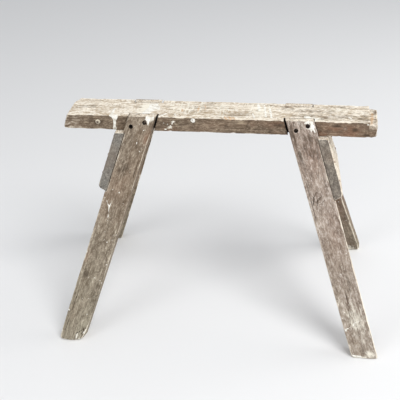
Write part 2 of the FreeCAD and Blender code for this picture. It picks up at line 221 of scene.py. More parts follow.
def make_piece(name, places, quads, fields):
    """A mesh object from world places in millimetres, with its fields stored as attributes."""
    for share in ("pale", "chalk_and_highlight", "stain", "red", "damp", "speck"):
        fields[share] = np.clip(fields[share], 0, 1)
    mesh = bpy.data.meshes.new(name)
    places = places * MM
    a, b, c, d = (places[quads[:, corner]] for corner in range(4))
    if np.sum(a * (np.cross(b, c) + np.cross(c, d))) < 0:  # a negative volume: it is inside out
        quads = quads[:, ::-1]
    mesh.vertices.add(len(places))
    mesh.vertices.foreach_set("co", places.astype(np.float32).ravel())
    mesh.loops.add(quads.size)
    mesh.loops.foreach_set("vertex_index", np.ascontiguousarray(quads).astype(np.int32).ravel())
    mesh.polygons.add(len(quads))
    mesh.polygons.foreach_set("loop_start", np.arange(0, quads.size, 4, dtype=np.int32))
    mesh.update(calc_edges=True)
    mesh.validate()
    set_fields(mesh, fields)
    return put(name, mesh)


def set_fields(mesh, fields):
    for field, values in fields.items():
        kind, slot = ("FLOAT_VECTOR", "vector") if values.ndim == 2 else ("FLOAT", "value")
        attribute = mesh.attributes.new(field, kind, "POINT")
        attribute.data.foreach_set(slot, values.astype(np.float32).ravel())


def mesh_places(mesh):
    places = np.zeros(len(mesh.vertices) * 3, np.float32)
    mesh.vertices.foreach_get("co", places)
    return places.reshape(-1, 3)


class Prism:
    """A closed convex prism: an outline of world points in millimetres, pushed along a vector in steps."""

    def __init__(self, outline, push, steps=1):
        self.outline = np.array(outline, float)
        self.push = np.array(push, float)
        self.steps = steps

    def holds(self, places, margin=0.3):
        """Which places lie inside, by more than a margin."""
        middle = self.outline.mean(0)
        length = np.linalg.norm(self.push)
        along = (places - middle) @ self.push / length
        inside = (along > margin) & (along < length - margin)
        for start, end in zip(self.outline, np.roll(self.outline, -1, axis=0)):
            normal = np.cross(end - start, self.push)
            normal /= np.linalg.norm(normal)
            gap = (places - start) @ normal
            inside &= gap * np.sign((middle - start) @ normal) > margin
        return inside

    def cutter(self):
        rings = [self.outline + self.push * step / self.steps for step in range(self.steps + 1)]
        places = np.concatenate(rings) * MM
        count = len(self.outline)
        faces = [tuple(range(count))[::-1], tuple(range(count * self.steps, count * (self.steps + 1)))]
        for ring in range(self.steps):
            for side in range(count):
                after = (side + 1) % count
                faces.append((ring * count + side, ring * count + after,
                              (ring + 1) * count + after, (ring + 1) * count + side))
        mesh = bpy.data.meshes.new("cutter")
        mesh.from_pydata([tuple(place) for place in places], [], faces)
        a, b, c = self.outline[:3]
        if np.cross(b - a, c - b) @ self.push < 0:  # a clockwise outline: it is inside out
            mesh.flip_normals()
        mesh.update()
        return put("cutter", mesh)


def carved(piece, cutter, solver):
    """The mesh of a piece with one closed shape cut out of it."""
    modifier = piece.modifiers.new("cut", "BOOLEAN")
    modifier.operation = "DIFFERENCE"
    modifier.solver = solver
    modifier.object = cutter
    bpy.context.view_layer.update()
    mesh = bpy.data.meshes.new_from_object(piece.evaluated_get(bpy.context.evaluated_depsgraph_get()))
    piece.modifiers.clear()
    return mesh


def open_edges(mesh):
    """How many edges don't lie between exactly two faces."""
    edges = np.zeros(len(mesh.loops), np.int32)
    mesh.loops.foreach_get("edge_index", edges)
    return int((np.bincount(edges, minlength=len(mesh.edges)) != 2).sum())


def cut(piece, fields, prisms, to_local, below_skin):
    """Cut prisms out of a piece. New points take the fields of the nearest old one, and painted shade that
    darkens with depth.
    """
    before = mesh_places(piece.data)
    for shape in prisms:
        cutter = shape.cutter()
        mesh = carved(piece, cutter, "FAST")
        if shape.holds(mesh_places(mesh) / MM).any() or open_edges(mesh):
            bpy.data.meshes.remove(mesh)
            mesh = carved(piece, cutter, "EXACT")
        bpy.data.objects.remove(cutter)
        old = piece.data
        piece.data = mesh
        bpy.data.meshes.remove(old)
    mesh = piece.data
    tree = KDTree(len(before))
    for index, place in enumerate(before):
        tree.insert(place, index)
    tree.balance()
    after = mesh_places(mesh)
    found = [tree.find(place) for place in after]
    index = np.array([item[1] for item in found])
    gap = np.array([item[2] for item in found]) / MM
    fresh = gap > 0.01
    for attribute in [item.name for item in mesh.attributes if item.name in fields]:
        mesh.attributes.remove(mesh.attributes[attribute])
    taken = {field: values[index] for field, values in fields.items()}
    places = to_local(after[fresh] / MM)
    taken["local"][fresh] = places * MM
    # painted shade on the cut walls, darker further below the skin
    taken["painted_hollow_shade"][fresh] = smooth(below_skin(places), 0.5, 2.5)
    taken["white"][fresh] = taken["ochre"][fresh] = PAINT_REACH
    set_fields(mesh, taken)
    mesh.name = piece.name
    return piece


# ---- what time does to timber


def squared_away(points, spot):
    """Squared distance from a spot's centre, in its own sizes: its row starts with both."""
    away = (points - np.array(spot[:3], float)) / np.array(spot[3:], float)
    return np.sum(away ** 2, axis=1)


def growth_rings(points, pith, seed, knots=()):
    """Distance from the pith in millimetres, wandering along the board and swelling round its knots."""
    drift_v = 9 * noise(points, (260, ENDLESS, ENDLESS), seed, 2)
    drift_w = 9 * noise(points, (260, ENDLESS, ENDLESS), seed + 1, 2)
    rings = np.hypot(points[:, 1] - pith[0] + drift_v, points[:, 2] - pith[1] + drift_w)
    rings += 2.2 * noise(points, (70, 22, 22), seed + 2, 2)
    for place, size, swell in knots:
        rings += swell * np.exp(-squared_away(points, (*place, size * 2.4, size, size)))
    return rings


def weather(points, low, high, style):
    """Worn arrises, grain, dents and checks on a block of timber, and the fields its material reads.

    A style's arris, foot, wave and grain are in millimetres. Its other keys place the marks.
    """
    seed = style["seed"]
    middle = (low + high) / 2
    length = high[:, 0].max()
    radius = style["arris"] * (1 + 0.45 * noise(points, (34, ENDLESS, ENDLESS), seed + 3)
                               + 0.3 * noise(points, (9, 25, 25), seed + 4))
    radius = np.maximum(radius, 0.5)
    chips = chipped(points, middle.T, style["chips"])
    radius = radius + chips * (1 + 0.35 * noise(points, (5, 9, 9), seed + 5))
    radius = radius + style["foot"] * smooth(points[:, 0], length - 26, length)
    radius = radius + soft_spots(points, style["rounded"])
    radius = radius * style.get("tight", 1.0)
    moved, outward = worn_arrises(points, low, high, radius)

    rings = growth_rings(points, style["pith"], seed + 6, style["knots"])
    ring_places = np.stack([rings, points[:, 0] * 0.012, np.zeros(len(points))], 1)
    stripes = noise(ring_places, (3.1, 1, 1), seed + 7, 2)
    fibres = noise(points, (48, 2.6, 2.6), seed + 8, 2)
    waves = noise(points, (120, 38, 38), seed + 9, 2)
    rough = noise(points, (6, 6, 6), seed + 10, 2)
    sink = style["wave"] * (1 + waves) / 2 + style["grain"] * (1 + stripes) / 2
    sink += style["grain"] * 0.7 * (1 + fibres) / 2
    end = smooth(np.abs(outward[:, 0]), 0.6, 0.95)
    sink += end * 0.5 * (1 + rough) / 2

    # painted shade in the checks and grooves, darker the further they sink in
    painted_hollow_shade = np.zeros(len(points))
    wander = 0.8 * noise(points, (14, 14, 14), seed + 11)
    for path, depth in style["grooves"]:
        inside = smooth(-(stroke(points, path) + wander), -0.7, 0.7)
        sink = sink + depth * inside
        painted_hollow_shade = np.maximum(painted_hollow_shade, inside * min(1, depth / 2.5))
    for path in style.get("cuts", ()):
        sink = sink + 0.6 * smooth(-stroke(points, path), -0.8, 0.6)
    for *dent, depth in style.get("dents", ()):
        sink = sink + depth * np.exp(-squared_away(points, dent) * 1.5)

    paint_edge = style.get("paint_edge", 1.5) * noise(points, (8, 8, 8), seed + 12, 3)
    white = nearest_stroke(points, style["white"]) + paint_edge
    ochre = nearest_stroke(points, style.get("ochre", ())) + paint_edge
    sink = sink - 0.45 * smooth(-white, -0.6, 0.8)
    moved = moved - outward * sink[:, None]

    by_size = np.sort(np.abs(outward), axis=1)
    margin = np.sort(np.minimum(points - low, high - points), axis=1)[:, 1]
    arris = np.maximum(smooth(by_size[:, 1], 0.05, 0.5), 0.8 * np.exp(-np.maximum(margin, 0) / 3.6))
    broad = smooth(radius, 0.8, 5.0)
    broken = 0.5 + 0.5 * noise(points, (46, 12, 12), seed + 14, 3)
    return moved, outward, {
        "ring": rings,
        "wear": np.clip(arris * (0.22 + 0.4 * broad + 0.8 * broken), 0, 1.2),
        "painted_hollow_shade": painted_hollow_shade,
        "end": end,
        "white": np.clip(white, -PAINT_REACH, PAINT_REACH),
        "ochre": np.clip(ochre, -PAINT_REACH, PAINT_REACH),
        "sink": np.clip(sink, -1, 8),
    }


def soft_spots(points, spots):
    """Strongest of several soft-edged spots, each a row: its centre, its size on each axis, its strength."""
    best = np.zeros(len(points))
    for *spot, strength in spots:
        best = np.maximum(best, strength * np.exp(-squared_away(points, spot)))
    return best


# ---- the beam


def beam_to_world(points):
    """Lattice places of the beam are world places, but its left end leans and its right end is askew."""
    moved = points.copy()
    down = (HEIGHT - points[:, 2]) / BEAM_DEPTH
    share = smooth(-points[:, 0], 300, -BEAM_LEFT)
    moved[:, 0] -= LEFT_SLANT * down * share
    across = (points[:, 1] + BEAM_HALF) / (2 * BEAM_HALF)
    moved[:, 0] += RIGHT_SKEW * across * smooth(points[:, 0], BREAK_AT - 50, BREAK_AT + 12)
    return moved


def top_mark(x0, y0, x1, y1, r0, r1=None):
    """A stroke on the beam's top, with one radius or a radius at each end."""
    return [((x0, y0, HEIGHT), r0), ((x1, y1, HEIGHT), r0 if r1 is None else r1)]


def side_mark(*places):
    """A stroke on the beam's front side through (x, z, radius) places."""
    return [((x, -BEAM_HALF, z), radius) for x, z, radius in places]


def on_top(*rows):
    """Spots on the beam's top: x, y, three sizes and a strength each."""
    return [(x, y, HEIGHT, *rest) for x, y, *rest in rows]


def on_front(*rows):
    """Spots on the beam's front side: x, z, three sizes and a strength each."""
    return [(x, -BEAM_HALF, z, *rest) for x, z, *rest in rows]


def beam_style():
    draw = np.random.default_rng(41)
    cuts = [top_mark(*row) for row in ((-128, 49, -125, -24, 1.5), (-106, 60, -104, 6, 1.5),
                                       (-3, 36, 0, -46, 1.6), (6, 34, 10, -50, 1.6))]
    for _ in range(34):
        x, y = draw.uniform(-186, 165), draw.uniform(-48, 40)
        reach = draw.uniform(12, 46)
        lean = draw.uniform(-4, 9)
        cuts.append(top_mark(x, y, x + lean, min(y + reach, 58), draw.uniform(0.7, 1.3)))
    checks = [(top_mark(*row), depth) for *row, depth in (
        (328, -16, 384, -13, 1.3, 2.6), (420, -42, 447, -41, 1.2, 2.4), (250, 18, 318, 14, 0.9, 1.6),
        (360, 40, 440, 36, 1.1, 2.0), (392, 6, 446, 9, 0.9, 1.8), (-458, 4, -380, 8, 1.0, 1.6),
        (-470, -34, -430, -32, 1.0, 2.0), (-70, 33, 40, 29, 0.8, 1.2), (170, -22, 262, -25, 0.8, 1.3),
        (-330, 40, -255, 44, 0.8, 1.2), (-420, -18, -345, -20, 0.8, 1.2), (60, 48, 130, 46, 0.8, 1.3),
    )] + [(side_mark(*places), depth) for places, depth in (
        (((113, 725, 1.0), (117, 708, 1.1), (120, 693, 0.8)), 1.6),
        (((-470, 706, 0.8), (-300, 702, 0.8)), 1.2),
        (((-60, 694, 0.8), (60, 697, 0.9), (110, 695, 0.6)), 1.2),
        (((330, 712, 0.7), (420, 715, 0.8)), 1.0),
    )]
    for _ in range(30):
        x, y = draw.uniform(BEAM_LEFT + 10, BEAM_RIGHT - 150), draw.uniform(-54, 54)
        reach, drift = draw.uniform(40, 130), draw.uniform(-2, 2)
        checks.append((top_mark(x, y, x + reach, y + drift, draw.uniform(0.4, 0.8)), draw.uniform(0.9, 1.7)))
    small_chips = random_chips(draw, (BEAM_LEFT, BEAM_RIGHT), 64, (4, 16), (1.2, 3.6))
    return {
        "seed": 100,
        "arris": 2.3,
        "foot": 1.5,
        "rounded": ((BEAM_LEFT, -BEAM_HALF, BEAM_BASE, 16, 26, 16, 4.0),
                    (BEAM_LEFT, BEAM_HALF, BEAM_BASE, 14, 20, 14, 4.0),
                    (BEAM_RIGHT, -BEAM_HALF, BEAM_BASE, 14, 20, 14, 3.5)),
        "wave": 1.1,
        "grain": 0.42,
        "pith": (-22.0, HEIGHT - 118),
        "paint_edge": 2.8,
        "knots": (((337, 12, HEIGHT), 16, 9), ((-20, -BEAM_HALF, 704), 11, 5), ((-300, 25, HEIGHT), 13, 5)),
        "chips": small_chips + [
            (-119, -1, 1, 17, 3.6), (30, -1, 1, 20, 2.6), (447, -1, -1, 9, 4.0), (426, 1, 1, 16, 4.5),
            (-193, 1, 1, 4, 5.0), (350, -1, 1, 9, 3.2), (387, -1, 1, 7, 3.0), (-455, -1, 1, 12, 3.4),
            (-400, 1, 1, 18, 2.2), (200, 1, 1, 22, 2.2), (60, 1, 1, 14, 2.0), (-60, 1, 1, 16, 1.8),
            (150, -1, 1, 12, 2.0), (-40, -1, -1, 22, 2.4), (90, -1, -1, 14, 2.0), (-420, -1, -1, 16, 2.0),
            (330, -1, -1, 14, 2.4), (-300, 1, -1, 20, 2.6), (100, 1, -1, 26, 3.0), (380, 1, -1, 18, 2.4),
        ],
        "grooves": checks,
        "cuts": cuts,
        "dents": ((-330, 10, HEIGHT, 40, 22, 20, 0.7), (60, -20, HEIGHT, 60, 26, 20, 0.8),
                  (300, 30, HEIGHT, 40, 20, 20, 0.7)),
        "white": [top_mark(*row) for row in (
            (-333, -46, -333, -9, 4.0, 2.2), (-336, -58, -318, -57, 4.5, 4.5),
            (-222, 26, -214, 2, 7.0, 13.0), (-214, 2, -228, -30, 14.0, 12.0),
            (-228, -30, -236, -56, 12.0, 9.0), (-206, 34, -216, 8, 5.0, 9.0),
            (-196, -8, -201, 14, 4.0, 6.0), (-180, -48, -166, -38, 4.5, 2.5), (112, 52, 118, 8, 4.0, 5.0),
            (132, 44, 140, -36, 2.4, 3.4), (150, 20, 156, -44, 2.6, 3.0), (98, -14, 105, -50, 1.8, 2.8),
            (355, 34, 362, 16, 1.5, 2.2), (388, -26, 398, -38, 2.4, 1.4), (262, -30, 276, -54, 9.0, 10.0),
            (276, -54, 296, -40, 6.0, 4.0), (-140, -38, -132, -54, 2.0, 1.4),
        )] + [side_mark(*places) for places in (
            ((-336, 731, 3.0), (-323, 724, 10.0), (-324, 716, 5.0), (-325, 698, 3.6), (-325.5, 686, 4.6),
             (-325.5, 679, 4.2)),
            ((-170, 686, 1.0), (-164, 688, 1.8)), ((-157, 696, 1.4), (-151, 699, 2.4)),
            ((-146, 707, 2.6), (-141, 715, 2.2)), ((-162, 703, 1.4), (-159, 706, 1.0)), ((-148, 691, 1.3),),
            ((-136, 704, 1.5),), ((-155, 710, 1.2),), ((441.5, 723.4, 2.6), (442.5, 723.0, 2.6)),
        )],
        "ochre": [top_mark(*row) for row in (
            (14, -46, 21, -60, 3.6, 4.4), (28, -42, 34, -60, 3.0, 4.0), (40, -48, 45, -60, 3.0, 3.6),
            (-72, 26, -70, -12, 1.6, 2.6), (-122, 2, -119, -20, 2.2, 1.2), (-52, 30, -49, 4, 1.2, 1.8),
        )] + [[((454, -40, HEIGHT - 12), 5.0), ((456, 30, HEIGHT - 8), 6.0)]],
    }


def make_beam():
    length, whole = BEAM_RIGHT - BEAM_LEFT, BREAK_AT - BEAM_LEFT
    step, wall_rows = 2.75, 11
    start = np.array([0.5, 1.1, 1.9])
    before = np.linspace(0, whole - 3, round((whole - 3) / step))
    after = np.concatenate([np.linspace(whole + 3, length - 4, 12), length - np.array([2.8, 1.8, 0.9, 0])])
    us = np.concatenate([before[:1], start, before[1:], np.full(wall_rows, whole), after])
    broken = np.concatenate([np.zeros(len(before) + len(start)), np.linspace(0, 1, wall_rows),
                             np.ones(len(after))])
    row, points, quads = block(us, spaced(2 * BEAM_HALF, 1.95), spaced(BEAM_DEPTH, 1.9))
    points = points + (BEAM_LEFT, -BEAM_HALF, BEAM_BASE)

    # the broken end: its top is lowered, more at the front than at the rear
    flat = points * (0, 1, 1)
    across = (points[:, 1] + BEAM_HALF) / (2 * BEAM_HALF)
    drop = BREAK_DROP_FRONT + (BREAK_DROP_REAR - BREAK_DROP_FRONT) * across
    snapped = broken[row]
    torn = 3.2 * noise(flat, (ENDLESS, 13, ENDLESS), 71, 3)
    points[:, 0] += (snapped > 0) * (snapped < 1) * torn
    share = (points[:, 2] - BEAM_BASE) / BEAM_DEPTH
    points[:, 2] -= snapped * share * drop
    low = np.tile((BEAM_LEFT, -BEAM_HALF, BEAM_BASE), (len(points), 1))
    high = np.tile((BEAM_RIGHT, BEAM_HALF, HEIGHT), (len(points), 1))
    high[:, 2] -= snapped * drop
    style = beam_style()
    moved, outward, fields = weather(points, low, high, style)

    # ragged fibres on the broken ledge, and the end rounded in plan
    ledge = smooth(snapped, 0.1, 0.9)
    splinters = noise(points, (22, 3.4, 30), 72, 3) + 0.6 * noise(points, (9, 9, 9), 73, 2)
    facing_up = np.clip(outward[:, 2], 0, 1)
    moved[:, 2] -= ledge * facing_up * (0.9 + 1.6 * splinters)
    near_end = smooth(points[:, 0], BEAM_RIGHT - 8, BEAM_RIGHT)
    curve = 1.8 * np.clip(-points[:, 1] / BEAM_HALF, 0, 1) ** 4
    curve = curve + 0.8 * (1 + noise(points, (ENDLESS, 9, 14), 74, 2))
    moved[:, 0] -= near_end * curve
    near_left = smooth(-points[:, 0], -BEAM_LEFT - 18, -BEAM_LEFT)
    far_corner = smooth(points[:, 1], 24, BEAM_HALF + 1)
    moved[:, 0] += near_left * (12.0 * far_corner + 0.5 * (1 + noise(points, (ENDLESS, 7, 7), 75, 2)))

    top = smooth(outward[:, 2], 0.25, 0.85) * (1 - 0.35 * ledge)
    front = smooth(-outward[:, 1], 0.3, 0.8)
    right = smooth(points[:, 0], -250, 350)
    patch = noise(points, (90, 30, 30), 76, 3)
    fields["wear"] = fields["wear"] * (1 - 0.55 * smooth(-points[:, 0], -BEAM_LEFT - 3, -BEAM_LEFT))
    pale = top * (0.84 - 0.14 * right + 0.26 * patch) + 0.25 * fields["wear"]
    pale_front = 0.38 * smooth(-points[:, 0], 340, 450) * front
    fields["pale"] = np.maximum.reduce([pale, 0.55 * ledge * facing_up, pale_front])
    light_patches = soft_spots(points, [*on_top(
        (-380, 10, 90, 60, 6, 0.5), (-235, 0, 30, 60, 6, 1.0), (-120, 0, 120, 80, 6, 0.5),
        (122, 0, 40, 70, 6, 0.8), (20, 20, 70, 40, 6, 0.5), (360, 24, 60, 26, 6, 0.6),
        (280, -44, 36, 24, 6, 0.9),
    ), *on_front(
        (300, 708, 14, 8, 12, 0.4), (90, 708, 16, 8, 8, 0.4),
    )])
    smear = [side_mark((-168, 687, 4.0), (-153, 699, 8.0), (-141, 712, 7.0))]
    dapple = smooth(noise(points, (7, 7, 7), 77, 3), -0.25, 0.3)
    smeared = smooth(-nearest_stroke(points, smear), -5.0, 3.0)
    light_patches = np.maximum(light_patches, 0.85 * dapple * smeared)
    scores = smooth(-nearest_stroke(points, style["cuts"]), -1.2, 0.8)
    fields["chalk_and_highlight"] = light_patches + 0.9 * scores * top
    # real stains, plus a fifth of the painted shade in the hollows
    fields["stain"] = 0.2 * fields["painted_hollow_shade"] + soft_spots(points, [*on_top(
        (337, 12, 26, 15, 8, 0.45), (-350, 30, 70, 16, 6, 0.3), (220, 34, 60, 18, 6, 0.3),
        (330, 0, 90, 40, 8, 0.3), (430, 10, 30, 50, 8, 0.35), (190, 20, 50, 30, 8, 0.25),
    ), *on_front(
        (20, 706, 12, 8, 10, 0.6), (-290, 700, 26, 8, 40, 0.55), (215, 700, 30, 8, 40, 0.35),
        (-60, 726, 60, 8, 6, 0.3), (405, 704, 12, 8, 9, 0.95), (150, 690, 22, 8, 7, 0.8),
        (182, 712, 26, 8, 8, 0.85), (350, 716, 22, 8, 6, 0.8), (440, 688, 14, 8, 8, 0.8),
        (60, 686, 40, 8, 6, 0.7), (232, 700, 18, 8, 40, 0.7),
    )])
    fields["red"] = front * right * (0.5 + 0.7 * patch) + soft_spots(points, on_front(
        (341, 703, 22, 8, 10, 0.9), (392, 698, 26, 8, 12, 0.7), (315, 690, 16, 8, 10, 1.0),
        (-155, 690, 24, 8, 9, 0.7),
    ))
    fields["damp"] = np.zeros(len(points))
    fields["speck"] = 0.25 + 0.5 * soft_spots(points, [(-230, 0, 720, 90, 90, 40, 1.0)])
    fields["local"] = points * MM
    housings = [housing_cutter(side, face) for side in (-1, 1) for face in (-1, 1)]
    piece = make_piece("beam", beam_to_world(moved), quads, fields)
    # painted shade fills the housings all over, so each of their points counts as lying as far below the skin
    # as can be
    return cut(piece, fields, housings, lambda places: places,
               lambda places: np.full(len(places), BEAM_DEPTH))


def housing_cutter(side, face):
    """The shape that a leg's housing takes out of the beam."""
    half = half_width(side)
    outline = []
    gap = HOUSING_CLEAR if (side, face) == REAR_RIGHT else HOUSING_GAP
    for drop, shift in ((-30, -half - gap), (BEAM_DEPTH + 30, -half - gap),
                        (BEAM_DEPTH + 30, half + HOUSING_CLEAR), (-30, half + HOUSING_CLEAR)):
        across = REACH[side] + SPLAY[side] * drop + shift - TURN[side] * (LEG_PROUD + RAKE * drop)
        outline.append((side * across, face * CHEEK, HEIGHT - drop))
    return Prism(outline, (0, face * 40, 0))


# ---- the legs


def half_width(side):
    """Half of a leg's width, measured level along the beam."""
    return LEG_HALF * math.sqrt(1 + SPLAY[side] ** 2 / (1 + RAKE ** 2))


class LegFrame:
    """A leg's own places (drop, across outwards, inwards from its outer wide face) in the world."""

    def __init__(self, side, face):
        self.origin = np.array((side * REACH[side], face * (BEAM_HALF + LEG_PROUD), HEIGHT))
        self.axes = np.array((
            (side * SPLAY[side], face * RAKE, -1.0),
            (side * half_width(side) / LEG_HALF, 0.0, 0.0),
            (-side * TURN[side] * LEG_DEEP / LEG_THICK, -face * LEG_DEEP / LEG_THICK, 0.0),
        ))
        self.back = np.linalg.inv(self.axes)

    def world(self, points):
        return self.origin + points @ self.axes

    def local(self, places):
        return (places - self.origin) @ self.back


def leg_mark(*places):
    """A stroke on a leg's outer wide face through (drop, across, radius) places."""
    return [((drop, across, 0.0), radius) for drop, across, radius in places]


def check_lines(seed, count):
    """Long thin drying checks along the grain."""
    draw = np.random.default_rng(seed)
    lines = []
    for _ in range(count):
        start, across = draw.uniform(60, HEIGHT - 120), draw.uniform(-32, 32)
        reach, depth = draw.uniform(40, 170), draw.uniform(0.9, 2.0)
        w = draw.choice((0.0, 0.0, LEG_THICK))
        drift = draw.uniform(-3, 3)
        lines.append(([((start, across, w), 0.6), ((start + reach / 2, across + drift, w), 0.95),
                       ((start + reach, across + drift * 1.6, w), 0.5)], depth))
    return lines


def splatter(seed, count, area, sizes, w):
    """Small round spots of paint thrown over part of a face."""
    draw = np.random.default_rng(seed)
    (u0, u1), (v0, v1) = area
    return [[((draw.uniform(u0, u1), draw.uniform(v0, v1), w), draw.uniform(*sizes))] for _ in range(count)]


